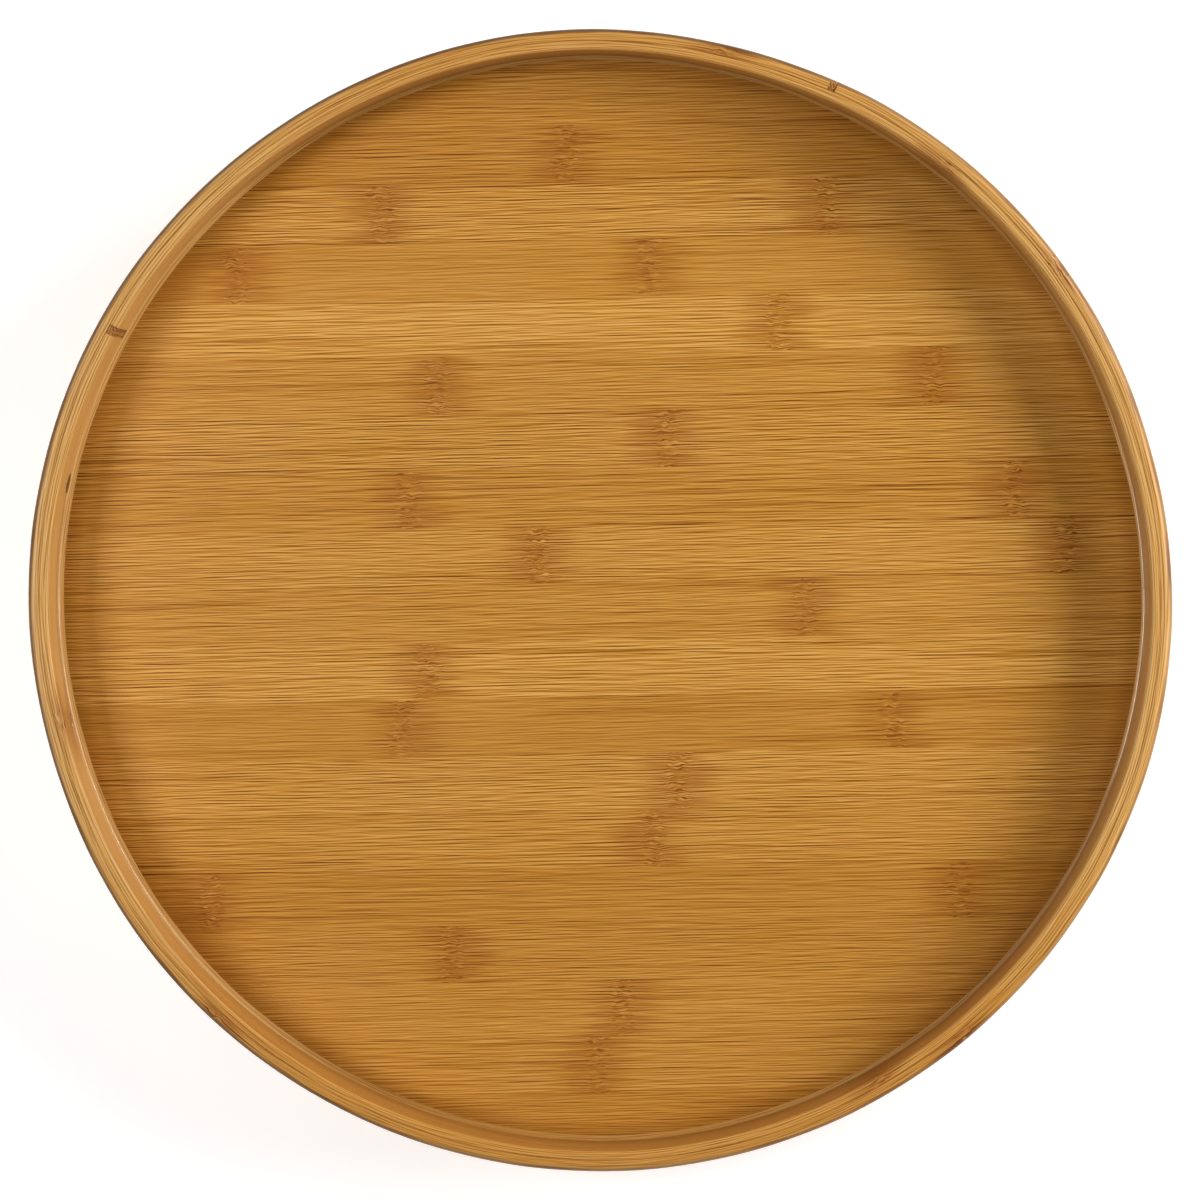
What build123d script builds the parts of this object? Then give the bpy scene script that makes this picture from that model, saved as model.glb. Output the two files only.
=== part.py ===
"""Lazy susan turntable: a rimmed bamboo tray that turns on a stamped steel ball bearing.

The tray is a deck of edge-glued bamboo strips inside a rim of two bent plies. It turns about +Z
above a bamboo base disc on four rubber feet. The frame's origin is on the table under the spin
axis, with +Z up and the strips running along X. Lengths are in millimetres.
"""

import os
from math import ceil, cos, floor, hypot, radians, sin, sqrt

from build123d import *

# ---------------------------------------------------------------- driving dimensions
tray_radius = 200.0
wall_height = 25.0  # rim above the deck
deck_thickness = 8.0
outer_ply_thickness = 4.3
inner_ply_thickness = 3.2
lip_outer_radius = 1.8  # rounding of the rim's upper edges
lip_inner_radius = 1.2
rim_foot_radius = 1.2
arris = 0.25  # the slight break of an edge that is left sharp
strip_width = 20.2  # one planed bamboo strip
deck_seam_offset = 6.3  # first deck seam, measured from the spin axis along Y

base_strip_count = 11
base_thickness = 9.0
base_edge_radius = 3.0
foot_height = 4.0
foot_radius = 9.0
foot_circle_radius = 96.0
foot_draft = 0.7
foot_edge_radius = 0.8
foot_recess_flare = 1.0

bearing_height = 8.0
plate_side = 140.0
plate_corner_radius = 8.0
plate_thickness = 1.2
plate_hole_half_pitch = 60.0
plate_hole_radius = 2.1
race_radius = 54.0
ball_radius = 2.38
ball_count = 36
ball_clearance = 0.07

# The pressed plates' section: radial steps from the race circle, outward or inward, and
# heights above the lower plate's underside.
race_foot_step = 8.5
race_shoulder_step = 5.5
groove_lip_gap = 1.0  # from the ball centres down or up to each groove's lips
flange_outer_step = 5.5
flange_inner_step = 9.5
flange_bend_step = 4.0
flange_top = 4.0
neck_step = 10.6
curl_step = 6.5
curl_underside = 1.2

outer_joint_angle = 64.4  # where the ends of each ply meet, in degrees from +X
inner_joint_angle = 149.6
outer_joint_gap = 2.8
inner_joint_gap = 3.5

screw_radius = 1.75
screw_core_radius = 1.25
screw_pitch = 1.2
screw_bite = 6.0  # thread length in the wood
screw_ridges = 3
screw_tip = 1.5
ridge_lead = 0.96  # from a ridge's crest back to the core behind it and before it
ridge_slope = 0.36
pilot_clearance = 0.2
plate_head_radius = 3.5
plate_head_height = 2.0
foot_head_radius = 3.2
foot_head_height = 1.6
head_above_floor = 0.4
washer_radius = 3.6
washer_thickness = 0.6
access_hole_radius = 7.0
access_hole_chamfer = 0.5

# ---------------------------------------------------------------- levels and radii
base_bottom = foot_height
base_top = base_bottom + base_thickness
deck_bottom = base_top + bearing_height
deck_top = deck_bottom + deck_thickness
rim_top = deck_top + wall_height

ply_joint_radius = tray_radius - outer_ply_thickness
deck_radius = ply_joint_radius - inner_ply_thickness
base_radius = base_strip_count * strip_width / 2
ball_height = base_top + bearing_height / 2
groove_radius = ball_radius + ball_clearance
pilot_depth = screw_bite + pilot_clearance
screw_circle_radius = hypot(plate_hole_half_pitch, plate_hole_half_pitch)
foot_seat = head_above_floor + foot_head_height + washer_thickness  # washer's upper face

square_corners = [45 + 90 * i for i in range(4)]
axis_corners = [90 * i for i in range(4)]
foot_names = {45: "rear_right", 135: "rear_left", 225: "front_left", 315: "front_right"}


def polar(radius, degrees):
    """The point at that radius and angle in the XY plane."""
    return (radius * cos(radians(degrees)), radius * sin(radians(degrees)))


def write(part, name):
    """Labels a finished piece and writes it as parts/NAME.step."""
    part.label = name
    export_step(part, f"parts/{name}.step")


# ---------------------------------------------------------------- deck
def deck_seams():
    """Y of each seam between deck strips, with the deck's own edges at both ends."""
    first = ceil((-deck_radius - deck_seam_offset) / strip_width)
    last = floor((deck_radius - deck_seam_offset) / strip_width)
    seams = [deck_seam_offset + strip_width * i for i in range(first, last + 1)]
    return [-deck_radius, *seams, deck_radius]


def make_deck_strip(low, high):
    """One strip of the round deck between two seams, with the pilot holes that fall in it."""
    with BuildPart() as strip:
        with BuildSketch(Plane.XY.offset(deck_bottom)):
            Circle(deck_radius)
            with Locations((0, (low + high) / 2)):
                Rectangle(2 * deck_radius, high - low, mode=Mode.INTERSECT)
        extrude(amount=deck_thickness)
        for angle in axis_corners:
            x, y = polar(screw_circle_radius, angle)
            if low < y < high:
                with Locations((x, y, deck_bottom)):
                    Cylinder(
                        screw_radius,
                        pilot_depth,
                        align=(Align.CENTER, Align.CENTER, Align.MIN),
                        mode=Mode.SUBTRACT,
                    )
    return strip.part


# ---------------------------------------------------------------- rim
def ring_profile(inner, outer, inner_top_radius, outer_top_radius, outer_foot_radius):
    """A ply's cross-section in the XZ plane, with its top and outer lower edges rounded."""
    with BuildSketch(Plane.XZ) as profile:
        with Locations(((inner + outer) / 2, (deck_bottom + rim_top) / 2)):
            Rectangle(outer - inner, rim_top - deck_bottom)
        top = profile.vertices().group_by(Axis.Z)[-1].sort_by(Axis.X)
        foot = profile.vertices().group_by(Axis.Z)[0].sort_by(Axis.X)
        fillet(top[0], inner_top_radius)
        fillet(top[-1], outer_top_radius)
        fillet(foot[-1], outer_foot_radius)
    return profile.sketch


def make_ply(profile, joint_angle, gap, mode):
    """A ring of the profile. Mode.SUBTRACT leaves the ply, open by a narrow gap where its ends
    meet; Mode.INTERSECT leaves the wooden key that is glued into that gap."""
    with BuildPart() as ply:
        add(profile)
        revolve(axis=Axis.Z)
        with Locations((0, 0, (deck_bottom + rim_top) / 2)):
            with PolarLocations(ply_joint_radius, 1, start_angle=joint_angle):
                Box(4 * outer_ply_thickness, gap, 2 * rim_top, mode=mode)
    return ply.part


# ---------------------------------------------------------------- bearing
bearing_section = Plane(origin=(0, 0, base_top), x_dir=(1, 0, 0), z_dir=(0, -1, 0))


def groove_half_width():
    """Half the width of a ball groove at its lips."""
    return sqrt(groove_radius**2 - groove_lip_gap**2)


def make_lower_race_plate():
    """Square plate under the balls: a pressed groove, and an inner flange that the upper
    plate's curl hooks beneath."""
    t = plate_thickness
    centre = bearing_height / 2
    lip = centre - groove_lip_gap
    outer_lip = race_radius + groove_half_width()
    inner_lip = race_radius - groove_half_width()
    outer_foot = race_radius + race_foot_step
    shoulder = race_radius + race_shoulder_step
    bend = race_radius - flange_bend_step
    flange_outer = race_radius - flange_outer_step
    flange_inner = race_radius - flange_inner_step
    with BuildPart() as plate:
        with BuildSketch(Plane.XY.offset(base_top)):
            RectangleRounded(plate_side, plate_side, plate_corner_radius)
            Circle(outer_foot, mode=Mode.SUBTRACT)
            with PolarLocations(screw_circle_radius, 4, start_angle=square_corners[0]):
                Circle(plate_hole_radius, mode=Mode.SUBTRACT)
        extrude(amount=t)
        with BuildSketch(bearing_section):
            with BuildLine():
                outside = Polyline(
                    (outer_foot, 0), (outer_foot, t), (shoulder, lip), (outer_lip, lip)
                )
                groove = ThreePointArc(
                    outside @ 1, (race_radius, centre - groove_radius), (inner_lip, lip)
                )
                flange = Polyline(
                    groove @ 1,
                    (bend, lip),
                    (flange_outer, flange_top),
                    (flange_inner, flange_top),
                    (flange_inner, flange_top - t),
                    (flange_outer, flange_top - t),
                    (bend, lip - t),
                    (inner_lip, lip - t),
                )
                back = ThreePointArc(
                    flange @ 1, (race_radius, centre - groove_radius - t), (outer_lip, lip - t)
                )
                Polyline(back @ 1, (shoulder, lip - t), outside @ 0)
            make_face()
        revolve(axis=Axis.Z)
    return plate.part


def make_upper_race_plate():
    """Square plate over the balls, turned 45 degrees: the same groove upside down, and a
    central neck whose curled end hooks beneath the lower plate's flange."""
    t = plate_thickness
    top = bearing_height
    centre = bearing_height / 2
    lip = centre + groove_lip_gap
    outer_lip = race_radius + groove_half_width()
    inner_lip = race_radius - groove_half_width()
    outer_foot = race_radius + race_foot_step
    shoulder = race_radius + race_shoulder_step
    neck_outer = race_radius - neck_step
    neck_inner = neck_outer - t
    curl_edge = race_radius - curl_step
    with BuildPart() as plate:
        with BuildSketch(Plane.XY.offset(deck_bottom - t)):
            RectangleRounded(plate_side, plate_side, plate_corner_radius, rotation=45)
            Circle(outer_foot, mode=Mode.SUBTRACT)
            with PolarLocations(screw_circle_radius, 4, start_angle=axis_corners[0]):
                Circle(plate_hole_radius, mode=Mode.SUBTRACT)
        extrude(amount=t)
        with BuildSketch(bearing_section):
            with BuildLine():
                outside = Polyline(
                    (outer_foot, top), (outer_foot, top - t), (shoulder, lip), (outer_lip, lip)
                )
                groove = ThreePointArc(
                    outside @ 1, (race_radius, centre + groove_radius), (inner_lip, lip)
                )
                neck = Polyline(
                    groove @ 1,
                    (neck_outer, lip),
                    (neck_outer, curl_underside + t),
                    (curl_edge, curl_underside + t),
                    (curl_edge, curl_underside),
                    (neck_inner, curl_underside),
                    (neck_inner, lip + t),
                    (inner_lip, lip + t),
                )
                back = ThreePointArc(
                    neck @ 1, (race_radius, centre + groove_radius + t), (outer_lip, lip + t)
                )
                Polyline(back @ 1, (shoulder, lip + t), outside @ 0)
            make_face()
        revolve(axis=Axis.Z)
    return plate.part


def make_bearing_balls():
    """The loose balls, evenly spaced round the race as separate solids."""
    with BuildPart() as balls:
        with Locations((0, 0, ball_height)):
            with PolarLocations(race_radius, ball_count):
                Sphere(ball_radius)
    return balls.part


# ---------------------------------------------------------------- screws
def make_screw(length, head_radius, head_height):
    """A pan-head cross-recess wood screw. Its head sits below Z = 0 and its shank rises to
    Z = length. The thread is drawn as separate ridges, and the tip is a cone."""
    plain = length - screw_bite
    thread = [(screw_radius, plain)]
    for i in range(screw_ridges):
        crest = plain + (i + 1) * screw_pitch
        thread += [
            (screw_core_radius, crest - ridge_lead),
            (screw_core_radius, crest - ridge_slope),
            (screw_radius, crest),
        ]
    crown = 0.6 * head_radius
    shoulder = 0.35 * head_height
    swell = (0.88 * head_radius, -0.78 * head_height)  # a point on the domed edge
    recess_span = 1.1 * head_radius
    recess_width = 0.28 * head_radius
    recess_depth = 0.6 * head_height
    with BuildPart() as screw:
        with BuildSketch(Plane.XZ):
            with BuildLine():
                side = Line((head_radius, 0), (head_radius, -shoulder))
                top = Line((crown, -head_height), (0, -head_height))
                ThreePointArc(side @ 1, swell, top @ 0)
                Polyline(
                    top @ 1,
                    (0, length),
                    (screw_core_radius, length - screw_tip),
                    *reversed(thread),
                    (screw_radius, 0),
                    side @ 0,
                )
            make_face()
        revolve(axis=Axis.Z)
        with BuildSketch(Plane.XY.offset(-head_height)):
            Rectangle(recess_span, recess_width)
            Rectangle(recess_width, recess_span)
        extrude(amount=recess_depth, mode=Mode.SUBTRACT)
    return screw.part


def make_screw_set(screw, positions):
    """The same screw at several placements, as separate solids in one node."""
    with BuildPart() as screws:
        with Locations(*positions):
            add(screw)
    return screws.part


# ---------------------------------------------------------------- base
def circles_by_size(builder):
    """A part's circular edges in groups of one radius, smallest first."""
    return builder.edges().filter_by(GeomType.CIRCLE).group_by(SortBy.RADIUS)


def make_base_blank():
    """The whole base disc before it is divided into its strips: rounded edges, pilot holes
    for the plate and foot screws, and the hole that the deck screws are driven through."""
    upward = (Align.CENTER, Align.CENTER, Align.MIN)
    downward = (Align.CENTER, Align.CENTER, Align.MAX)
    with BuildPart() as blank:
        with BuildSketch(Plane.XY.offset(base_bottom)):
            Circle(base_radius)
            with Locations(polar(screw_circle_radius, axis_corners[0])):
                Circle(access_hole_radius, mode=Mode.SUBTRACT)
        extrude(amount=base_thickness)
        chamfer(circles_by_size(blank)[0], access_hole_chamfer)
        fillet(circles_by_size(blank)[-1], base_edge_radius)
        for angle in square_corners:
            with Locations((*polar(screw_circle_radius, angle), base_top)):
                Cylinder(screw_radius, pilot_depth, align=downward, mode=Mode.SUBTRACT)
            with Locations((*polar(foot_circle_radius, angle), base_bottom)):
                Cylinder(screw_radius, pilot_depth, align=upward, mode=Mode.SUBTRACT)
    return blank.part


def make_base_strip(blank, index):
    """Strip number index of the base disc, counted from its front edge."""
    low = -base_radius + index * strip_width
    with BuildPart() as strip:
        add(blank)
        with Locations((0, low + strip_width / 2, (base_bottom + base_top) / 2)):
            Box(3 * base_radius, strip_width, 2 * base_thickness, mode=Mode.INTERSECT)
    return strip.part


def make_rubber_foot(angle):
    """A moulded rubber foot, slightly tapered, with a flared recess for its screw and washer."""
    with BuildPart() as foot:
        with BuildSketch(Plane.XZ):
            with BuildLine():
                outline = Polyline(
                    (screw_radius, foot_seat),
                    (washer_radius, foot_seat),
                    (washer_radius, foot_recess_flare),
                    (washer_radius + foot_recess_flare, 0),
                    (foot_radius - foot_draft, 0),
                    (foot_radius, foot_height),
                    (screw_radius, foot_height),
                    close=True,
                )
            make_face()
            outer = [v for v in outline.vertices() if v.X > foot_radius - 2 * foot_draft]
            fillet(outer, foot_edge_radius)
        revolve(axis=Axis.Z)
    return foot.part.moved(Location((*polar(foot_circle_radius, angle), 0)))


def make_foot_washers():
    """The steel washers under the heads of the foot screws."""
    with BuildPart() as washers:
        with BuildSketch(Plane.XY.offset(foot_seat - washer_thickness)):
            with PolarLocations(foot_circle_radius, 4, start_angle=square_corners[0]):
                Circle(washer_radius)
                Circle(screw_radius, mode=Mode.SUBTRACT)
        extrude(amount=washer_thickness)
    return washers.part


# ---------------------------------------------------------------- build and write every piece
def main():
    os.makedirs("parts", exist_ok=True)

    seams = deck_seams()
    for i, (low, high) in enumerate(zip(seams, seams[1:]), start=1):
        write(make_deck_strip(low, high), f"deck_strip_{i:02d}")

    outer = ring_profile(
        ply_joint_radius, tray_radius, arris, lip_outer_radius, rim_foot_radius
    )
    inner = ring_profile(deck_radius, ply_joint_radius, lip_inner_radius, arris, arris)
    for side, profile, angle, gap in (
        ("outer", outer, outer_joint_angle, outer_joint_gap),
        ("inner", inner, inner_joint_angle, inner_joint_gap),
    ):
        write(make_ply(profile, angle, gap, Mode.SUBTRACT), f"rim_{side}_ply")
        write(make_ply(profile, angle, gap, Mode.INTERSECT), f"rim_{side}_joint_key")

    write(make_upper_race_plate(), "upper_race_plate")
    write(make_lower_race_plate(), "lower_race_plate")
    write(make_bearing_balls(), "bearing_balls")

    blank = make_base_blank()
    for i in range(base_strip_count):
        write(make_base_strip(blank, i), f"base_strip_{i + 1:02d}")

    plate_screw = make_screw(
        plate_thickness + screw_bite, plate_head_radius, plate_head_height
    )
    foot_screw = make_screw(
        foot_height - foot_seat + washer_thickness + screw_bite,
        foot_head_radius,
        foot_head_height,
    )
    write(
        make_screw_set(
            plate_screw,
            [
                Location((*polar(screw_circle_radius, a), deck_bottom - plate_thickness))
                for a in axis_corners
            ],
        ),
        "deck_screws",
    )
    write(
        make_screw_set(
            plate_screw,
            [
                Location((*polar(screw_circle_radius, a), base_top + plate_thickness), (180, 0, 0))
                for a in square_corners
            ],
        ),
        "base_screws",
    )
    write(
        make_screw_set(
            foot_screw,
            [
                Location((*polar(foot_circle_radius, a), foot_seat - washer_thickness))
                for a in square_corners
            ],
        ),
        "foot_screws",
    )
    write(make_foot_washers(), "foot_washers")
    for angle, place in foot_names.items():
        write(make_rubber_foot(angle), f"foot_{place}")


main()
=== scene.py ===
"""Looks of the lazy susan turntable: lacquered bamboo tray and base, pressed steel bearing, rubber
feet. Everything is in metres in the CAD frame, +Z up, with the deck's strips along X."""

import random
from math import atan2, cos, degrees, exp, radians, sin, tan

import bmesh
import bpy
from mathutils import Matrix, Quaternion, Vector, noise


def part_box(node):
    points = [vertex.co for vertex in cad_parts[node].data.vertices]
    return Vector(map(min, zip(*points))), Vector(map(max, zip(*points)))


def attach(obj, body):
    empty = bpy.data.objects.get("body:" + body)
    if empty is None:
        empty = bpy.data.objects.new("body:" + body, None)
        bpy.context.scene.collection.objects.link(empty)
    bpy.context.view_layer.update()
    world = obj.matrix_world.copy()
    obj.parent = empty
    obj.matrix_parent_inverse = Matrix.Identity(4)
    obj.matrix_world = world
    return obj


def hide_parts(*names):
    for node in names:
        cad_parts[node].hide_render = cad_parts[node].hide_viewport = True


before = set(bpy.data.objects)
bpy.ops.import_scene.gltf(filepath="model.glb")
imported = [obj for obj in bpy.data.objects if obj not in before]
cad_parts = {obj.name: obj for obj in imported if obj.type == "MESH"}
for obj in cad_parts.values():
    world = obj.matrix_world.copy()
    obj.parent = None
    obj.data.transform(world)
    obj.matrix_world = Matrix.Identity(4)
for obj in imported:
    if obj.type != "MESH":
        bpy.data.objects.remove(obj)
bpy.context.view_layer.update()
scene = bpy.context.scene
MM = 0.001

# ------------------------------------------------------------------ sizes read from the frame
rim_low, rim_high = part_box("rim_outer_ply")
deck_low, deck_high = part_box("deck_strip_10")
inner_low, inner_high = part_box("rim_inner_ply")
LIP_Z = rim_high[2]
RIM_FOOT_Z = rim_low[2]
DECK_Z = deck_high[2]
TRAY_RADIUS = (rim_high[0] - rim_low[0]) / 2
DECK_RADIUS = (deck_high[0] - deck_low[0]) / 2
PLY_JOINT_RADIUS = (inner_high[0] - inner_low[0]) / 2


def box_angle(node):
    """Angle from +X, in degrees, of the middle of a node's box."""
    low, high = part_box(node)
    return degrees(atan2(low[1] + high[1], low[0] + high[0]))


OUTER_JOINT = box_angle("rim_outer_joint_key")
INNER_JOINT = box_angle("rim_inner_joint_key")
OUTER_GAP = 2.8 * MM  # the width of each ply's butt joint, which a filler closes
INNER_GAP = 3.5 * MM

# ------------------------------------------------------------------ shader helpers

MIX_AMOUNT, MIX_A, MIX_B, MIX_RESULT = 0, 6, 7, 2  # a Mix node's sockets when it mixes colours


def rgb(red, green, blue):
    """An sRGB colour given as 0 to 255, as linear light with alpha."""
    values = [c / 255 for c in (red, green, blue)]
    linear = [((c + 0.055) / 1.055) ** 2.4 if c > 0.04045 else c / 12.92 for c in values]
    return (*linear, 1.0)


class Nodes:
    """Short names for building one material's node tree."""

    def __init__(self, name):
        self.material = bpy.data.materials.new(name)
        self.material.use_nodes = True
        self.tree = self.material.node_tree
        self.shader = self.tree.nodes["Principled BSDF"]
        self.x, self.y, self.z = self.split(self.new("ShaderNodeTexCoord").outputs["Object"])

    def new(self, kind, **values):
        node = self.tree.nodes.new(kind)
        for key, value in values.items():
            setattr(node, key, value)
        return node

    def feed(self, socket, value):
        """Links a socket, or sets a plain number, vector or colour."""
        if isinstance(value, bpy.types.NodeSocket):
            self.tree.links.new(value, socket)
        else:
            socket.default_value = value

    def math(self, operation, a, b=0.0, c=0.0):
        node = self.new("ShaderNodeMath", operation=operation)
        for socket, value in zip(node.inputs, (a, b, c)):
            self.feed(socket, value)
        return node.outputs[0]

    def add(self, a, b):
        return self.math("ADD", a, b)

    def times(self, a, b):
        return self.math("MULTIPLY", a, b)

    def step(self, value, low, high, to_low=0.0, to_high=1.0):
        """Smooth step of value from low..high to to_low..to_high."""
        node = self.new("ShaderNodeMapRange", interpolation_type="SMOOTHSTEP")
        for socket, number in zip(node.inputs, (value, low, high, to_low, to_high)):
            self.feed(socket, number)
        return node.outputs[0]

    def split(self, vector):
        """The three components of a vector."""
        node = self.new("ShaderNodeSeparateXYZ")
        self.feed(node.inputs[0], vector)
        return tuple(node.outputs)

    def vector(self, x, y, z):
        node = self.new("ShaderNodeCombineXYZ")
        for socket, value in zip(node.inputs, (x, y, z)):
            self.feed(socket, value)
        return node.outputs[0]

    def spread(self, scale, place=None, shift=0.0):
        """A noise's coordinates: a place, the point itself if none is given, times a scale."""
        x, y, z = place or (self.x, self.y, self.z)
        return self.vector(
            self.times(x, scale), self.times(y, scale), self.add(self.times(z, scale), shift)
        )

    def noise(self, vector, detail=2.0, roughness=0.5):
        """Noise of about one cell a unit of vector, mostly 0.2 to 0.8."""
        node = self.new("ShaderNodeTexNoise")
        self.feed(node.inputs["Vector"], vector)
        node.inputs["Scale"].default_value = 1.0
        node.inputs["Detail"].default_value = detail
        node.inputs["Roughness"].default_value = roughness
        return node.outputs[0]

    def mix(self, amount, a, b, blend="MIX"):
        node = self.new("ShaderNodeMix", data_type="RGBA", blend_type=blend)
        self.feed(node.inputs[MIX_AMOUNT], amount)
        self.feed(node.inputs[MIX_A], a)
        self.feed(node.inputs[MIX_B], b)
        return node.outputs[MIX_RESULT]

    def ramp(self, value, *stops):
        """A colour ramp; each stop is (place, colour), in rising order."""
        node = self.new("ShaderNodeValToRGB")
        self.feed(node.inputs[0], value)
        elements = node.color_ramp.elements
        while len(elements) < len(stops):
            elements.new(0.5)
        for element, (place, colour) in zip(elements, stops):
            element.position = place
            element.color = colour
        return node.outputs[0]

    def bump(self, height, distance, strength):
        node = self.new("ShaderNodeBump")
        self.feed(node.inputs["Height"], height)
        node.inputs["Distance"].default_value = distance
        node.inputs["Strength"].default_value = strength
        self.feed(self.shader.inputs["Normal"], node.outputs[0])

    def set(self, **values):
        """Feeds the shader's sockets: base_color, roughness, metallic and so on."""
        for key, value in values.items():
            name = key.replace("_", " ").title().replace("Ior", "IOR")
            self.feed(self.shader.inputs[name], value)


# ------------------------------------------------------------------ bamboo

# Each kind of bamboo: its dark fibres, its ground, its pale fibres and its nodes' stain.
DECK_BAMBOO = (rgb(112, 56, 2), rgb(189, 129, 46), rgb(240, 188, 104), rgb(166, 100, 32))
RIM_BAMBOO = (rgb(112, 62, 14), rgb(201, 147, 74), rgb(248, 206, 138), rgb(156, 92, 36))
BASE_BAMBOO = (rgb(108, 56, 6), rgb(184, 128, 52), rgb(236, 186, 108), rgb(160, 96, 38))

# Multipliers of painted shade: at the foot of the wall, together with a heavy coat there, and on
# the rim's lip in front and behind.
LACQUER_AND_SHADE = (0.68, 0.60, 0.45, 1)
LIP_SHADE = (0.90, 0.79, 0.58, 1)

# A span is where a smooth step starts and ends, and then its two values, if not 0 and 1.

# The grain's noises: cells a metre along the fibres and across them, extra octaves, and a shift
# that keeps each noise clear of the others.
WANDER = (3, 22, 1, 11.0)
STAIN_ENDS = (6, 700, 1, 5.0)
STAIN_OUTLINE = (10, 130, 1, 6.0)
NODE_LINE = (30, 90, 1, 9.0)
NODE_CURLS = (260, 600, 1, 2.0)
NODE_SPECKS = (300, 900, 1, 71.0)
NODE_MOTTLE = (50, 300, 2, 81.0)
FINE_BANDS = (12, 330, 1, 41.0)
BROAD_BANDS = (5, 80, 2, 1.0)
CLUSTERS = (3, 120, 1, 61.0)
LENGTHS = (11, 640, 0, 55.0)
CONTOUR = (1.8, 640, 1, 51.0)
# Fibres with no broad bands: cells a metre both ways, a shift, and the width of a fibre.
HAIR = (62, 1900, 21.0, 0.27 * MM)
THREADS = (15, 800, 31.0, 0.9 * MM)
HAIR_LIMIT = 0.11  # flattens the palest hairs

# How far the noises above move the fibres and the outlines of a node.
WANDER_BY = 1.7 * MM
CURL_BY = 2.2 * MM
LINE_BY = 7 * MM
ENDS_BY = 22 * MM
OUTLINE_BY = 14 * MM
# Distances at which a stain starts and is full: round a node, in its heart and at a glue line.
HALO = (17 * MM, 2.5 * MM)
HEART = (6 * MM, 2 * MM)
GLUE = (0.5 * MM, 0.1 * MM)

CLUSTER_SPAN = (-0.14, 0.14, 0.15, 1.0)
LENGTH_SPAN = (-0.12, 0.04)
CONTOUR_SPAN = (0.05, 0.015)
MOTTLE_SPAN = (-0.16, 0.12, 0.35, 1.0)

# A point's level says which fibre it shows: 0 is the darkest, 0.5 the ground and 1 the palest.
# Plain wood's own level comes first, and then what each noise, stain and setting adds.
PLAIN_LEVEL = 0.535
TONE_ADDS = 0.12
HAIR_ADDS = 1.4
THREADS_ADD = 0.06
FINE_BANDS_ADD = 0.08
BROAD_BANDS_ADD = 0.12
STREAKS_ADD = -0.10
LINED_STREAKS_ADD = -0.24
HALO_HAIR_ADDS = 0.7
HALO_ADDS = -0.085
SPECKS_ADD = 0.7
HEART_ADDS = -0.03
GLUE_ADDS = -0.08
# The strength of hair and threads in a strip that is not lined, and what lining adds to it.
PLAIN_CONTRAST = 0.5
LINED_CONTRAST = 0.6
STAIN_STRENGTH = 0.55

# The finish: cells a metre of its smudges, its roughness over them, and its relief.
SMUDGES = 24
ROUGHNESS_SPAN = (0.3, 0.7, 0.34, 0.46)
FIBRE_SHINE = -0.08  # what a pale fibre takes from the roughness
SPECULAR = 0.3
SMUDGE_RELIEF = 0.3
RELIEF, RELIEF_STRENGTH = 0.06 * MM, 0.7
DRIFT = 0.02  # how fast the rim's grain changes through its walls


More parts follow.
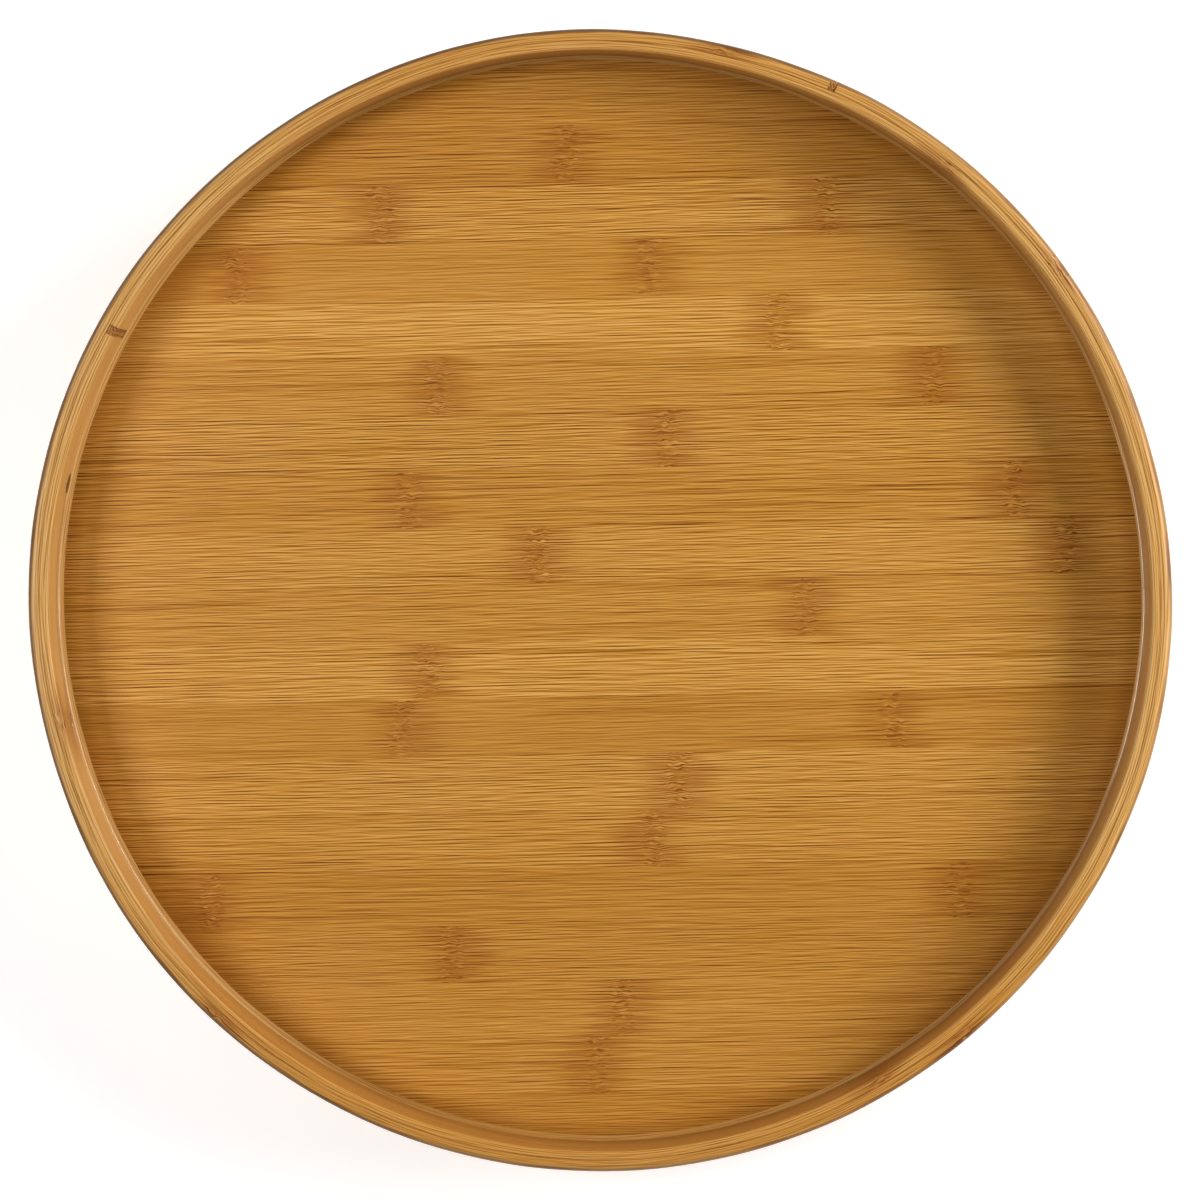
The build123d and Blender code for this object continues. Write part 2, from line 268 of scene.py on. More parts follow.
def bamboo(name, kind, place, seed, tone, lined, joints=(), seams=None, marks=None):
    """A lacquered bamboo material. place gives the node tree's coordinates along the fibres,
    across them and through the strip, in metres. tone runs from -1, amber, to 1, straw; lined is
    how strongly the fibres show, about 0 to 1; joints are the places of the culm's nodes along the
    strip; seams are its two edges across the grain, where glue lines show; marks adds any further
    stains, painted shade and painted highlights: it takes the node tree, the three coordinates and
    the colour so far."""
    n = Nodes(name)
    dark_fibre, ground, pale_fibre, stain = kind
    u, v, w = place(n)
    across, depth = v, w
    if place is ring_grain:
        # The rim shows its top and its walls, so its fibres count across both alike.
        across = n.add(v, w)
        depth = n.times(n.add(v, n.times(w, -1.0)), DRIFT)

    def grain(per_u, per_v, detail, shift, beside=0.0):
        """Noise drawn out along the fibres, so many cells a metre along and across, about 0."""
        vector = n.vector(
            n.add(n.times(u, per_u), seed * 7.3 + shift),
            n.add(n.times(v_bent, per_v), seed * 3.1 - shift + beside * per_v),
            n.add(n.times(depth, per_v), seed * 1.7),
        )
        return n.add(n.noise(vector, detail), -0.5)

    def fibres(per_u, per_v, shift, beside):
        """Fine fibres with no broad bands: the grain less the grain a little beside it."""
        taken = n.times(grain(per_u, per_v, 0, shift, beside), -1.0)
        return n.add(grain(per_u, per_v, 0, shift), taken)

    def distance(shift):
        """How far a point lies along the strip from the nearest node."""
        nearest = None
        for joint in joints:
            one = n.math("ABSOLUTE", n.add(n.add(u, shift), -joint))
            nearest = one if nearest is None else n.math("MINIMUM", nearest, one)
        return nearest

    # Fibres wander a little everywhere. At a node they swerve, and each is stained so far.
    v_bent = across
    wander = n.times(grain(*WANDER), WANDER_BY)
    if joints:
        ends = n.times(grain(*STAIN_ENDS), ENDS_BY)
        halo = n.step(distance(n.add(ends, n.times(grain(*STAIN_OUTLINE), OUTLINE_BY))), *HALO)
        heart = n.step(distance(n.times(grain(*NODE_LINE), LINE_BY)), *HEART)
        wander = n.add(wander, n.times(n.times(grain(*NODE_CURLS), CURL_BY), heart))
    v_bent = n.add(across, wander)

    contrast = PLAIN_CONTRAST + LINED_CONTRAST * lined
    hair = n.math("MINIMUM", fibres(*HAIR), HAIR_LIMIT)
    threads = n.times(fibres(*THREADS), THREADS_ADD * contrast)
    level = n.add(n.times(hair, HAIR_ADDS * contrast), threads)
    level = n.add(level, n.times(grain(*FINE_BANDS), FINE_BANDS_ADD))
    broad = n.times(grain(*BROAD_BANDS), BROAD_BANDS_ADD)
    level = n.add(level, n.add(broad, PLAIN_LEVEL + TONE_ADDS * tone))
    # Long dark fibres, each a contour of a drawn-out noise, run in clusters.
    clusters = n.step(grain(*CLUSTERS), *CLUSTER_SPAN)
    lengths = n.step(grain(*LENGTHS), *LENGTH_SPAN)
    contour = n.step(n.math("ABSOLUTE", grain(*CONTOUR)), *CONTOUR_SPAN)
    streaks = n.times(n.times(contour, lengths), clusters)
    level = n.add(level, n.times(streaks, STREAKS_ADD + LINED_STREAKS_ADD * lined))
    if joints:
        level = n.add(level, n.times(n.times(hair, halo), HALO_HAIR_ADDS))
        level = n.add(level, n.times(halo, HALO_ADDS))
        level = n.add(level, n.times(n.times(grain(*NODE_SPECKS), heart), SPECKS_ADD))
        level = n.add(level, n.times(heart, HEART_ADDS))
    if seams:
        edge = n.math("MINIMUM", n.add(v, -seams[0]), n.add(n.times(v, -1.0), seams[1]))
        level = n.add(level, n.step(edge, *GLUE, 0.0, GLUE_ADDS))
    colour = n.ramp(level, (0.0, dark_fibre), (0.5, ground), (1.0, pale_fibre))
    if joints:
        mottle = n.step(grain(*NODE_MOTTLE), *MOTTLE_SPAN)
        stained = n.mix(STAIN_STRENGTH, colour, stain)
        colour = n.mix(n.times(halo, mottle), colour, stained)
    if marks:
        colour = marks(n, u, v, w, colour)

    smudge = n.noise(n.spread(SMUDGES, (u, v, w)), 4, 0.6)
    n.set(
        base_color=colour,
        roughness=n.add(n.step(smudge, *ROUGHNESS_SPAN), n.times(level, FIBRE_SHINE)),
        specular_ior_level=SPECULAR,
    )
    n.bump(n.add(level, n.times(smudge, SMUDGE_RELIEF)), RELIEF, RELIEF_STRENGTH)
    return n.material


def strip_grain(n):
    """Fibres along X, as in the deck and the base."""
    return n.x, n.y, n.z


# Each strip of the deck from the front edge to the rear: tone, how lined it is, and where its
# culm nodes lie along X in millimetres.
DECK_STRIPS = [
    # This strip's darker tone is partly painted shade.
    (-0.6, 0.4, ()),
    (0.1, 0.5, (-5,)),
    (0.0, 0.3, (5,)),
    (-0.3, 0.5, (-55,)),
    (-0.4, 0.3, (-140, 125)),
    (0.0, 0.7, (17,)),
    (0.3, 0.9, (27,)),
    (-0.2, 0.2, (103, -71)),
    (0.6, 1.0, (-61.5,)),
    (0.1, 0.5, (73,)),
    (0.3, 0.9, (165, -22.5)),
    (-0.1, 0.6, (-67, 147)),
    (0.2, 1.0, (25,)),
    (0.2, 0.5, (-55.5, 119)),
    (0.9, 0.8, (65,)),
    (0.0, 0.1, (20, -126)),
    (0.2, 1.0, (-74.5, 83)),
    # This strip's darker tone is partly painted shade.
    (-0.6, 0.5, (-9,)),
    (-0.3, 0.5, ()),
    (-0.4, 0.5, ()),
]


def paint(node, material):
    """Gives a CAD node's object one material."""
    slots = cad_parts[node].data.materials
    slots.clear()
    slots.append(material)


# Where the painted shade and pooled lacquer round the foot of the wall start and are full.
POOL_AND_SHADE_SPAN = (DECK_RADIUS - 9 * MM, DECK_RADIUS - 2 * MM, 0.0, 0.7)


def pooled_lacquer_and_shade(n, u, v, w, colour):
    """Darker round the foot of the wall: painted shade, together with lacquer pooled there."""
    radius = n.math("SQRT", n.add(n.times(n.x, n.x), n.times(n.y, n.y)))
    return n.mix(n.step(radius, *POOL_AND_SHADE_SPAN), colour, LACQUER_AND_SHADE, "MULTIPLY")


def dress_deck():
    for i, (tone, lined, joints) in enumerate(DECK_STRIPS, start=1):
        low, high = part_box(f"deck_strip_{i:02d}")
        strip = bamboo(
            f"deck_bamboo_{i:02d}", DECK_BAMBOO, strip_grain, i, tone, lined,
            [j * MM for j in joints], (low[1], high[1]), pooled_lacquer_and_shade,
        )
        paint(f"deck_strip_{i:02d}", strip)


BASE_STRIPS = 11
BASE_SEED = 40  # the base's noises start past those of the deck


def dress_base():
    """The base's strips, which the photograph does not show, get drawn tones and nodes."""
    rng = random.Random(4)
    for i in range(1, BASE_STRIPS + 1):
        low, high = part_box(f"base_strip_{i:02d}")
        joint = rng.uniform(0.8 * low[0], 0.8 * high[0])
        tone, lined = rng.uniform(-0.6, 0.6), rng.uniform(0.2, 1.0)
        strip = bamboo(
            f"base_bamboo_{i:02d}", BASE_BAMBOO, strip_grain, BASE_SEED + i, tone, lined,
            [joint], (low[1], high[1]),
        )
        paint(f"base_strip_{i:02d}", strip)


# ------------------------------------------------------------------ rim

# Where the hand-bent rim stands off a true circle: angle, how far out in mm, and the spread in
# degrees.
BENDS = [
    (16, -0.3, 6),
    (74, -0.9, 9),
    (148, 0.5, 16),
    (196, -0.7, 9),
    (343, 0.4, 10),
]
WAVER = 0.12 * MM  # small wavering besides those bends
SLACK = 0.35 * MM  # keeps the bent rim inside the true circle's box
FOOT_GRIP = 0.5  # the share of each bend that is left at the glued foot
LIP_SANDING = 0.25 * MM  # how far the lip dips where it was sanded most
# Levels that tell the smooth noises round the ring apart, and the noises' rates.
WAVER_NOISE = (0.0, 9)
LIP_NOISE = (1.0, 4)
COVE_NOISE = (2.0, 6)
# Sections in a whole ring, an open ply, and a filler.
RING_SECTIONS = 720
PLY_SECTIONS = 960
FILLER_SECTIONS = 12
FILLER_SINK = 0.35 * MM  # how far a filler stands back from the plies' faces
SMOOTH_BELOW = 40  # degrees; sharper edges stay sharp


def around(angle, level, rate):
    """Smooth noise from -1 to 1 that closes on itself round the ring."""
    return noise.noise(Vector((cos(radians(angle)), sin(radians(angle)), level)) * rate)


def turn(angle, centre):
    """Degrees from centre to angle, the shorter way round."""
    return (angle - centre + 180) % 360 - 180


def bend(angle, z):
    """Radial offset of the rim from its true circle at that angle in degrees and that height."""
    offset = WAVER * around(angle, *WAVER_NOISE) - SLACK
    for centre, out, spread in BENDS:
        offset += out * MM * exp(-((turn(angle, centre) / spread) ** 2) / 2)
    height = max(0.0, min(1.0, (z - RIM_FOOT_Z) / (LIP_Z - RIM_FOOT_Z)))
    return offset * (FOOT_GRIP + (1 - FOOT_GRIP) * height)


def lip_level(angle):
    """Height of the hand-sanded lip at that angle."""
    return LIP_Z - LIP_SANDING * (0.5 + 0.5 * around(angle, *LIP_NOISE))


def corner(centre_r, centre_z, radius, start, steps):
    """Points of a quarter arc, counterclockwise in the (r, z) plane from start degrees."""
    angles = [radians(start + 90 * i / (steps - 1)) for i in range(steps)]
    return [(centre_r + radius * cos(a), centre_z + radius * sin(a)) for a in angles]


def spaced(a, b, count):
    """count points strictly between a and b."""
    return [
        (a[0] + (b[0] - a[0]) * i / (count + 1), a[1] + (b[1] - a[1]) * i / (count + 1))
        for i in range(1, count + 1)
    ]


SHARP_CORNER = 0.25 * MM  # radius of a ply's small roundings
FACE_POINTS = 5  # points between two roundings


def ply_profile(inner, outer, top, inner_top, outer_top, outer_bottom):
    """A ply's closed cross-section as (r, z) points, counterclockwise from its inner foot. The
    last three values are the radii of its other corners' roundings."""
    foot = SHARP_CORNER
    corners = [
        corner(inner + foot, RIM_FOOT_Z + foot, foot, 180, 3),
        corner(outer - outer_bottom, RIM_FOOT_Z + outer_bottom, outer_bottom, 270, 7),
        corner(outer - outer_top, top - outer_top, outer_top, 0, 10),
        corner(inner + inner_top, top - inner_top, inner_top, 90, 8),
    ]
    points = []
    for i, arc in enumerate(corners):
        points += arc + spaced(arc[-1], corners[(i + 1) % 4][0], FACE_POINTS)
    return points


def sweep_ring(name, angles, profile_at, closed):
    """A mesh that sweeps profile_at(angle), a closed (r, z) outline, round the bent rim. An open
    sweep gets end caps. The attribute ring_grain keeps each point's length along the ring, its
    radius before bending, and its height."""
    mesh = bmesh.new()
    layer = mesh.verts.layers.float_vector.new("ring_grain")
    loops = []
    for angle in angles:
        c, s = cos(radians(angle)), sin(radians(angle))
        loop = []
        for r, z in profile_at(angle):
            radius = r + bend(angle, z)
            vertex = mesh.verts.new((radius * c, radius * s, z))
            vertex[layer] = (radians(angle) * TRAY_RADIUS, r, z)
            loop.append(vertex)
        loops.append(loop)
    pairs = list(zip(loops, loops[1:]))
    if closed:
        pairs.append((loops[-1], loops[0]))
    count = len(loops[0])
    for one, two in pairs:
        for i in range(count):
            j = (i + 1) % count
            mesh.faces.new((one[i], one[j], two[j], two[i]))
    if not closed:
        mesh.faces.new(loops[0])
        mesh.faces.new(list(reversed(loops[-1])))
    bmesh.ops.recalc_face_normals(mesh, faces=mesh.faces)
    data = bpy.data.meshes.new(name)
    mesh.to_mesh(data)
    mesh.free()
    data.shade_smooth()
    data.set_sharp_from_angle(angle=radians(SMOOTH_BELOW))
    piece = bpy.data.objects.new(name, data)
    scene.collection.objects.link(piece)
    return piece


def ply_angles(joint, gap):
    """Angles of an open ply's sections from one end of the gap round to the other."""
    half = degrees(gap / PLY_JOINT_RADIUS / 2)
    turned = 360 - 2 * half
    return [joint + half + turned * i / PLY_SECTIONS for i in range(PLY_SECTIONS + 1)]


def filler_angles(joint, gap):
    """Angles of the sections of the filler in a ply's gap."""
    half = degrees(gap / PLY_JOINT_RADIUS / 2)
    return [joint - half + 2 * half * i / FILLER_SECTIONS for i in range(FILLER_SECTIONS + 1)]


HAIR_LINE = 0.25 * MM  # rounding of the edge where the plies meet
PARTED = 0.55 * MM  # how much wider it is where they have parted, before the inner joint
PARTED_AT = INNER_JOINT - 6
PARTED_SPREAD = 4.0
OUTER_ARRIS = 2.9 * MM
OUTER_FOOT = 1.2 * MM
INNER_ARRIS = 1.3 * MM
INNER_DROP = 0.1 * MM  # how far the inner ply's lip lies below the outer one's


def split_width(angle):
    """Rounding of the edge where the plies meet: a hair line, wider where they have parted."""
    away = abs(turn(angle, PARTED_AT))
    return HAIR_LINE + PARTED * exp(-((away / PARTED_SPREAD) ** 2))


def outer_section(angle, sink=0.0):
    return ply_profile(
        PLY_JOINT_RADIUS, TRAY_RADIUS, lip_level(angle) - sink,
        split_width(angle), OUTER_ARRIS, OUTER_FOOT,
    )


def inner_section(angle, sink=0.0):
    return ply_profile(
        DECK_RADIUS + sink, PLY_JOINT_RADIUS, lip_level(angle) - INNER_DROP - sink,
        INNER_ARRIS, split_width(angle), SHARP_CORNER,
    )


def ring_grain(n):
    """Fibres round the rim, by the attribute that sweep_ring leaves on its points."""
    return n.split(n.new("ShaderNodeAttribute", attribute_name="ring_grain").outputs["Vector"])


def upright_grain(n):
    """Fibres that stand up, as in the fillers of the joints."""
    return n.z, n.x, n.y


def ring_place(joint, angle):
    """Where an angle in degrees lies on ring_grain's length, for a ply that starts at joint."""
    return radians(joint + (angle - joint) % 360) * TRAY_RADIUS


# Spans along Y of the painted shade on the lip.
REAR_SPAN = (0.7 * TRAY_RADIUS, TRAY_RADIUS, 0.0, 0.8)
FRONT_SPAN = (-0.35 * TRAY_RADIUS, -0.8 * TRAY_RADIUS)


def painted_lip_shade(n, colour):
    """Painted shade: the rim is deeper and warmer in colour in the front and the rear, which face
    away from the key light.
    """
    rear = n.step(n.y, *REAR_SPAN)
    front = n.step(n.y, *FRONT_SPAN)
    return n.mix(n.add(rear, front), colour, LIP_SHADE, "MULTIPLY")


ARRIS_SHADE = rgb(92, 58, 26)
# Spans of the painted shade on the outer arris: from right to left, up the outer wall, and out
# over the lip.
SHADED_SIDE_SPAN = (-0.6 * TRAY_RADIUS, 0.4 * TRAY_RADIUS, 0.5, 0.95)
UP_SPAN = (LIP_Z - 2.6 * MM, LIP_Z - 1.6 * MM)
OUT_SPAN = (TRAY_RADIUS - 1.9 * MM, TRAY_RADIUS - 0.6 * MM)


def painted_arris_shade(n, u, v, w, colour):
    """Painted shade on the outer arris, most of all at the left, which faces away from the key
    light.
    """
    # Painted shade, strongest at the left and the rear.
    shaded_side = n.step(n.add(n.times(n.x, -1.0), n.times(n.y, 0.5)), *SHADED_SIDE_SPAN)
    edge = n.times(n.step(v, *OUT_SPAN), n.step(w, *UP_SPAN))
    return n.mix(n.times(edge, shaded_side), painted_lip_shade(n, colour), ARRIS_SHADE)


# Flaws low in the inner wall, from the knot to the scar, with all heights over the deck.
KNOT = ring_place(INNER_JOINT, 166.4)
SCAR = ring_place(INNER_JOINT, 191.6)
SPLIT = rgb(96, 56, 18)
# Each split fibre: height, where it starts and ends along the ply, and strength.
SPLITS = (
    (5.5 * MM, KNOT, SCAR + 6 * MM, 0.8),
    (2.6 * MM, KNOT + 8 * MM, SCAR, 0.65),
)
# Each spot: place along the ply, height, half its length, half its height, colour and strength.
SPOTS = (
    (KNOT, 5.0 * MM, 4.3 * MM, 4.0 * MM, rgb(62, 34, 10), 0.95),
    (SCAR, 4.2 * MM, 3.6 * MM, 3.0 * MM, rgb(118, 76, 32), 0.8),
    (SCAR + 1.8 * MM, 5.0 * MM, 0.9 * MM, 1.8 * MM, rgb(232, 200, 140), 0.8),
)
SPLIT_WOBBLE = 3.5 * MM
SPLIT_SPAN = (0.9 * MM, 0.35 * MM)
SPLIT_START, SPLIT_END = 4 * MM, 14 * MM  # lengths over which a split opens and closes
SPLIT_BREAKS = (0.2, 0.6)
SPOT_RAGGED = 0.8
SPOT_SPAN = (1.05, 0.75)
# Spans of the painted shade on the inner wall: down the wall, and along X, as it is faint at the
# left, which faces the key light.
DOWN_SPAN = (DECK_Z + 15 * MM, DECK_Z + 2 * MM)
LEFT_SPAN = (-0.95 * DECK_RADIUS, -0.5 * DECK_RADIUS, 0.15, 1.0)


def wall_flaws_and_shade(n, u, v, w, colour):
    """Painted shade down the inner wall, faint at the left, and on the rim in front and behind; a
    knot low in the wall, the two split fibres that run on from the knot, and the small scar where
    they end."""
    # Painted shade, darker towards the foot and faint at the left.
    wall_shade = n.times(n.step(w, *DOWN_SPAN), n.step(n.x, *LEFT_SPAN))
    colour = n.mix(wall_shade, painted_lip_shade(n, colour), LACQUER_AND_SHADE, "MULTIPLY")
    wobble = n.add(n.noise(n.vector(n.times(u, 40), 0.0, 0.0)), -0.5)
    ragged = n.noise(n.vector(n.times(u, 900), n.times(w, 900), 3.0), 2)
    for rise, first, last, strength in SPLITS:
        away = n.add(w, n.add(n.times(wobble, SPLIT_WOBBLE), -(DECK_Z + rise)))
        line = n.step(n.math("ABSOLUTE", away), *SPLIT_SPAN)
        opened = n.step(u, first, first + SPLIT_START)
        length = n.times(opened, n.step(u, last, last - SPLIT_END))
        broken = n.step(ragged, *SPLIT_BREAKS, 0.4 * strength, strength)
        colour = n.mix(n.times(n.times(line, length), broken), colour, SPLIT)
    for place, rise, long, tall, tint, strength in SPOTS:
        away_u = n.times(n.add(u, -place), 1 / long)
        away_w = n.times(n.add(w, -(DECK_Z + rise)), 1 / tall)
        away = n.math("SQRT", n.add(n.times(away_u, away_u), n.times(away_w, away_w)))
        outline = n.add(away, n.times(n.add(ragged, -0.5), SPOT_RAGGED))
        colour = n.mix(n.step(outline, *SPOT_SPAN, 0.0, strength), colour, tint)
    return colour


JOINT_SPECKS = 1500  # cells a metre
GLUE_BROWN = rgb(124, 66, 30)
GLUE_SPAN = (0.4, 0.6, 0.1, 0.75)
SANDING_DUST = rgb(190, 160, 128)
DUST_SPAN = (0.62, 0.7, 0.0, 0.7)


def joint_glue(n, u, v, w, colour):
    """Dark glue and pale sanding dust in a filled joint."""
    specks = n.noise(n.spread(JOINT_SPECKS), 3, 0.7)
    colour = n.mix(n.step(specks, *GLUE_SPAN), colour, GLUE_BROWN)
    return n.mix(n.step(specks, *DUST_SPAN), colour, SANDING_DUST)


# Angles of the plies' culm nodes.
OUTER_NODES = (35.3, 76, 226, 309)
INNER_NODES = (50.5, 191.5, 299)


def make_rim():
    # Each ply has a glue line on the side where it meets the other, and none on its free side.
    outer = bamboo(
        "rim_outer_bamboo", RIM_BAMBOO, ring_grain, 81, 0.0, 0.3,
        [ring_place(OUTER_JOINT, angle) for angle in OUTER_NODES],
        (PLY_JOINT_RADIUS, 2 * TRAY_RADIUS), painted_arris_shade,
    )
    inner = bamboo(
        "rim_inner_bamboo", RIM_BAMBOO, ring_grain, 82, 0.2, 0.3,
        [ring_place(INNER_JOINT, angle) for angle in INNER_NODES],
        (0.0, PLY_JOINT_RADIUS), wall_flaws_and_shade,
    )
    key = bamboo(
        "joint_key_bamboo", RIM_BAMBOO, upright_grain, 83, -1.4, 1.0, marks=joint_glue
    )
    plies = (
        ("rim_outer_ply", "outer", OUTER_JOINT, OUTER_GAP, outer_section, outer),
        ("rim_inner_ply", "inner", INNER_JOINT, INNER_GAP, inner_section, inner),
    )
    for node, side, joint, gap, section, material in plies:
        ply = sweep_ring(f"{side}_ply", ply_angles(joint, gap), section, False)
        ply.data.materials.append(material)
        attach(ply, "turntable")
        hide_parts(node)
        filler = sweep_ring(
            f"{side}_joint_filler",
            filler_angles(joint, gap),
            lambda angle, section=section: section(angle, FILLER_SINK),
            False,
        )
        filler.data.materials.append(key)
        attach(filler, "turntable")
        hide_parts(f"rim_{side}_joint_key")


COVE_SLOPE = 20  # degrees of the wiped facet, which catches the window light
COVE_NARROWEST = 0.9 * MM
COVE_GAIN = 1.0 * MM  # how much wider it is at its widest
COVE_UNEVEN = 0.2 * MM
WIDEST_COVE = 215  # the angle at which it is widest
CLIMB = 0.7 * MM  # how far the film is drawn up against the wall
FILM = 0.15 * MM  # how far it thins out over the deck
SUNK = 0.2 * MM  # how far it goes into the deck and the wall


def cove_section(angle):
    """The lacquer and glue at the foot of the wall: wiped to a shallow facet over the deck, and
    drawn up against the wall."""
    wide = 0.5 + 0.5 * cos(radians(angle - WIDEST_COVE))
    width = COVE_NARROWEST + COVE_GAIN * wide + COVE_UNEVEN * around(angle, *COVE_NOISE)
    rise = width * tan(radians(COVE_SLOPE))
    foot = DECK_RADIUS - width
    edge = (foot - FILM, DECK_Z)
    facet_low = (foot + 0.1 * width, DECK_Z + 0.09 * rise)
    facet_high = (foot + 0.8 * width, DECK_Z + 0.78 * rise)
    return [
        edge,
        *spaced(edge, (foot, DECK_Z + 0.02 * MM), 1),
        facet_low,
        *spaced(facet_low, facet_high, 3),
        facet_high,
        (foot + 0.92 * width, DECK_Z + rise),
        (foot + 0.98 * width, DECK_Z + rise + 0.4 * CLIMB),
        (foot + width, DECK_Z + rise + CLIMB),
        (DECK_RADIUS + SUNK, DECK_Z + rise + CLIMB),
        (DECK_RADIUS + SUNK, DECK_Z - SUNK),
        (foot - FILM, DECK_Z - SUNK),
    ]


# How far forward and back the pool keeps its painted highlight, by X, and how fast painted shade
# darkens it past that.
PALE_SPAN = (-0.3 * DECK_RADIUS, 0.3 * DECK_RADIUS, 0.7 * DECK_RADIUS, 0.22 * DECK_RADIUS)
DARKENING_SPAN = (0.0, 0.2 * DECK_RADIUS)
PALE_COAT = 0.65  # the coat's weight where the pool is pale, and what the painted shade takes from it
DARK_COAT_ADDS = -0.5
COAT_ROUGHNESS = 0.1


def painted_cove_light(n, u, v, w, colour):
    """The pool has a painted highlight at the right and along the left, pale under a heavier,
    glossy coat, and painted shade elsewhere.
    """
    reach = n.step(n.x, *PALE_SPAN)
    past = n.add(n.math("ABSOLUTE", n.y), n.times(reach, -1.0))
    # Painted shade where the painted highlight is not.
    dark = n.step(past, *DARKENING_SPAN)
    coat = n.add(n.times(dark, DARK_COAT_ADDS), PALE_COAT)
    n.set(coat_weight=coat, coat_roughness=COAT_ROUGHNESS)
    return n.mix(dark, colour, LACQUER_AND_SHADE, "MULTIPLY")


def make_cove():
    angles = [360 * i / RING_SECTIONS for i in range(RING_SECTIONS)]
    cove = sweep_ring("lacquer_fillet", angles, cove_section, True)
    # The foot's pale tone is part of its painted highlight.
    cove.data.materials.append(
        bamboo("lacquered_foot", RIM_BAMBOO, ring_grain, 84, 0.5, 0.2, marks=painted_cove_light)
    )
    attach(cove, "turntable")


# ------------------------------------------------------------------ metal and rubber


# Cells a metre of the metal's and the rubber's noises.
CLOUDS = 260
SPANGLES = 170
RUBS = (2200, 160, 2200)  # handling marks, drawn out along Y
SPARK_GRAIN = 2400
DUST = 300
SPANGLE_PALE = rgb(236, 238, 240)
RUBBER_BLACK = rgb(34, 34, 35)
RUBBER_DUSTY = rgb(92, 88, 82)


def steel(name, colour, stain, roughness, seed, spangle=0.0):
    """Plated or polished steel, with its clouds, its handling marks and, if spangle is above
    nought, faint crystals of zinc."""
    n = Nodes(name)
    place = n.vector(n.add(n.x, seed), n.y, n.z)
    scaled = n.new("ShaderNodeVectorMath", operation="SCALE")
    n.feed(scaled.inputs[0], place)
    scaled.inputs["Scale"].default_value = CLOUDS
    cloud = n.noise(scaled.outputs[0], 5, 0.65)
    rubbed = n.vector(*(n.times(axis, rate) for axis, rate in zip((n.x, n.y, n.z), RUBS)))
    marks = n.noise(rubbed, 3, 0.6)
    tone = n.mix(n.step(cloud, 0.35, 0.7, 0.0, 0.6), colour, stain)
    shine = n.add(n.times(cloud, 0.22), roughness - 0.1)
    if spangle:
        cells = n.new("ShaderNodeTexVoronoi")
        n.feed(cells.inputs["Vector"], place)
        cells.inputs["Scale"].default_value = SPANGLES
        red, green, _ = n.split(cells.outputs["Color"])
        tone = n.mix(n.times(red, spangle), tone, SPANGLE_PALE)
        shine = n.add(shine, n.times(green, 0.12))
    n.set(
        base_color=tone,
        metallic=1.0,
        roughness=n.add(shine, n.step(marks, 0.62, 0.7, 0.0, 0.12)),
    )
    n.bump(n.add(cloud, n.times(marks, 0.5)), 0.03 * MM, 0.5)
    return n.material


def rubber(name, seed):
    """Moulded black rubber with a fine spark-eroded grain and a little dust."""
    n = Nodes(name)
    grain = n.noise(n.spread(SPARK_GRAIN, shift=seed), 3)
    dust = n.noise(n.spread(DUST, shift=seed), 5, 0.7)
    n.set(
        base_color=n.mix(n.step(dust, 0.5, 0.75, 0.0, 0.35), RUBBER_BLACK, RUBBER_DUSTY),
        roughness=n.step(dust, 0.3, 0.7, 0.62, 0.86),
    )
    n.bump(grain, 0.06 * MM, 0.7)
    return n.material


def dress_hardware():
    plated = steel("zinc_plate", rgb(188, 192, 196), rgb(150, 153, 156), 0.34, 3.0, 0.35)
    for node in ("lower_race_plate", "upper_race_plate"):
        paint(node, plated)
    screw = steel("zinc_screw", rgb(206, 206, 200), rgb(170, 168, 158), 0.26, 7.0)
    for node in ("deck_screws", "base_screws", "foot_screws", "foot_washers"):
        paint(node, screw)
    paint("bearing_balls", steel("ball_steel", rgb(214, 215, 218), rgb(196, 196, 198), 0.14, 9.0))
    for i, node in enumerate(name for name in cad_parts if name.startswith("foot_")):
        if not node.endswith(("screws", "washers")):
            paint(node, rubber(f"{node}_rubber", 10.0 * i))


# ------------------------------------------------------------------ studio


FLOOR_HALF = 4.0
FLOOR_Z = -0.0002  # just below the feet
FLOOR_WHITE = (0.93, 0.93, 0.93, 1)
FLOOR_GLOW = 0.4  # lifts the floor to the white of the photograph's ground
WORLD_LIGHT = 0.03


def make_floor():
    mesh = bmesh.new()
    bmesh.ops.create_grid(mesh, x_segments=2, y_segments=2, size=FLOOR_HALF)
    data = bpy.data.meshes.new("floor")
    mesh.to_mesh(data)
    mesh.free()
    floor = bpy.data.objects.new("floor", data)
    floor.location.z = FLOOR_Z
    scene.collection.objects.link(floor)
    material = bpy.data.materials.new("floor_white")
    material.use_nodes = True
    shader = material.node_tree.nodes["Principled BSDF"]
    shader.inputs["Base Color"].default_value = FLOOR_WHITE
    shader.inputs["Roughness"].default_value = 0.9
    shader.inputs["Emission Color"].default_value = (1, 1, 1, 1)
    shader.inputs["Emission Strength"].default_value = FLOOR_GLOW
    floor.data.materials.append(material)


LIGHT_DISTANCE = 1.6
# Each light: name, azimuth and elevation in degrees, width, height and watts.
LIGHTS = (
    ("key", 16, 27, 1.3, 0.7, 31),
    ("window", 180, 49, 0.6, 0.5, 12),
    ("rear_fill", 140, 45, 1.2, 1.2, 3.6),
    ("front_fill", 270, 30, 1.2, 0.8, 3.3),
)


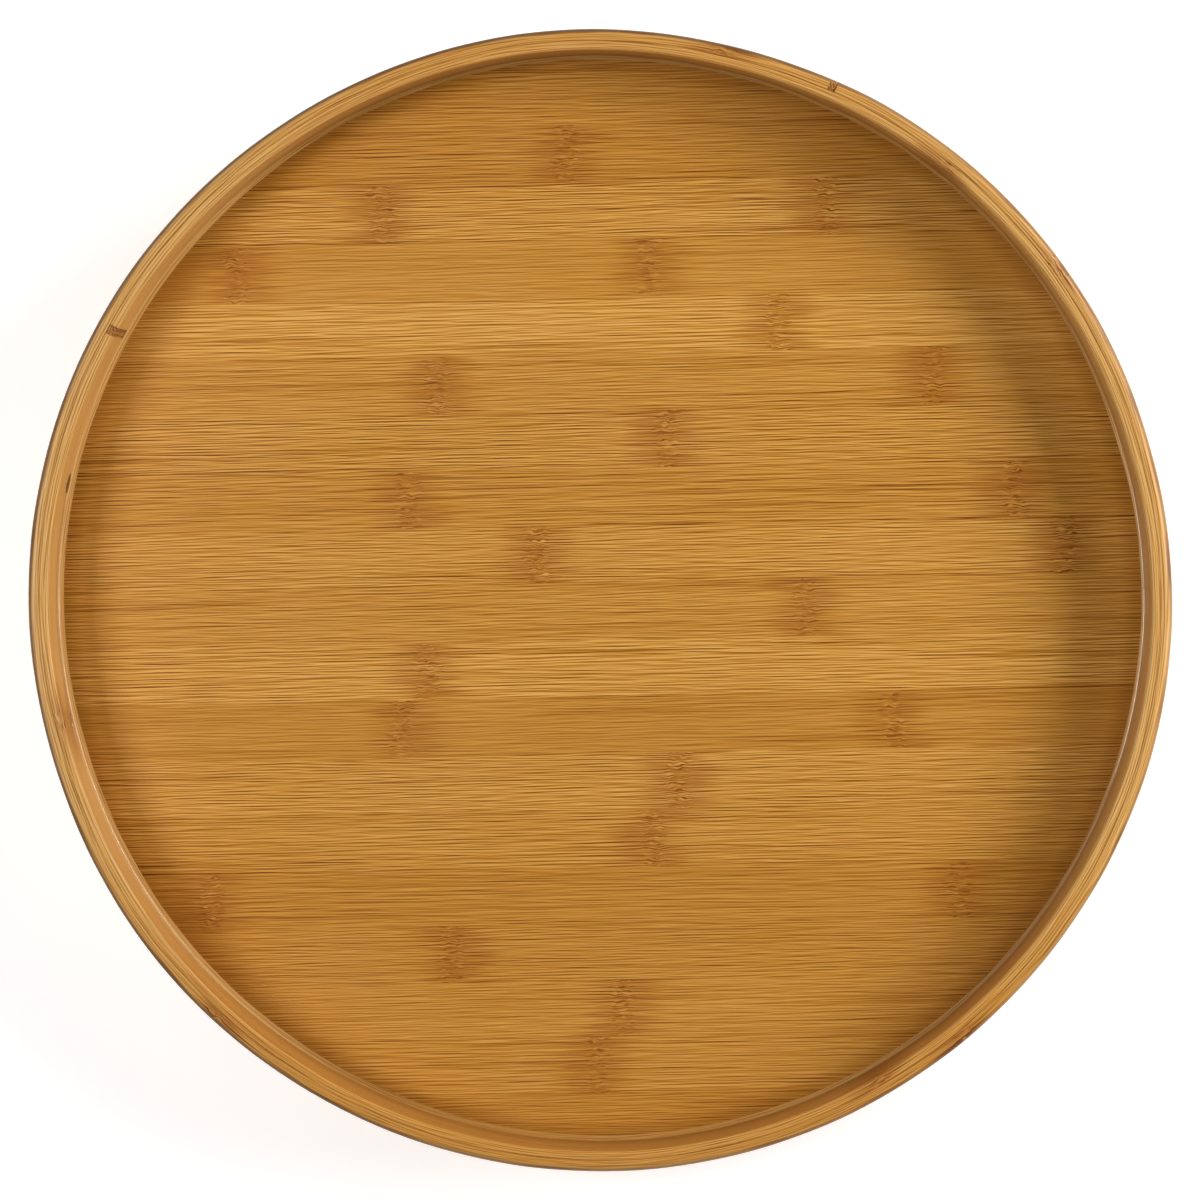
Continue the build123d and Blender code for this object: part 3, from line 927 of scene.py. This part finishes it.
def soft_box(name, azimuth, elevation, width, height, watts):
    """A rectangular white light aimed at the middle of the tray's lip."""
    lamp = bpy.data.lights.new(name, "AREA")
    lamp.shape = "RECTANGLE"
    lamp.size, lamp.size_y = width, height
    lamp.energy = watts
    light = bpy.data.objects.new(name, lamp)
    a, e = radians(azimuth), radians(elevation)
    target = Vector((0, 0, LIP_Z))
    way = Vector((cos(e) * cos(a), cos(e) * sin(a), sin(e)))
    light.location = target + LIGHT_DISTANCE * way
    light.rotation_euler = (target - light.location).to_track_quat("-Z", "Y").to_euler()
    scene.collection.objects.link(light)


def make_lights():
    for light in LIGHTS:
        soft_box(*light)
    world = bpy.data.worlds.new("studio")
    world.use_nodes = True
    background = world.node_tree.nodes["Background"]
    background.inputs["Color"].default_value = (1, 1, 1, 1)
    background.inputs["Strength"].default_value = WORLD_LIGHT
    scene.world = world


SENSOR_WIDTH = 36.0
CAMERA_HEIGHT = 1.5  # above the lip
CAMERA_OFFSET = Vector((0.035, 0.053, 0))  # where it stands beside the spin axis
FRAME_WIDTH = 0.418  # what the picture spans at the lip
STRIP_RISE = 1.2  # degrees by which the strips climb to the right


def make_camera():
    lens = bpy.data.cameras.new("camera")
    camera = bpy.data.objects.new("camera", lens)
    scene.collection.objects.link(camera)
    middle = Vector((0, 0, LIP_Z))
    camera.location = middle + CAMERA_OFFSET + Vector((0, 0, CAMERA_HEIGHT))
    # A tilted view swells the near side of the lip, so the aim is a little towards the camera.
    target = middle + CAMERA_OFFSET * (TRAY_RADIUS / CAMERA_HEIGHT) ** 2
    line = target - camera.location
    back = -line.normalized()
    side = Vector((0, 1, 0)).cross(back).normalized()
    aim = Matrix((side, back.cross(side), back)).transposed().to_quaternion()
    camera.rotation_euler = (aim @ Quaternion((0, 0, 1), radians(-STRIP_RISE))).to_euler()
    lens.sensor_width = SENSOR_WIDTH
    lens.lens = SENSOR_WIDTH * line.length / FRAME_WIDTH
    lens.clip_start = 0.01
    scene.camera = camera
    scene.view_settings.view_transform = "Standard"


make_camera()
make_lights()
make_floor()
dress_deck()
dress_base()
make_rim()
make_cove()
dress_hardware()
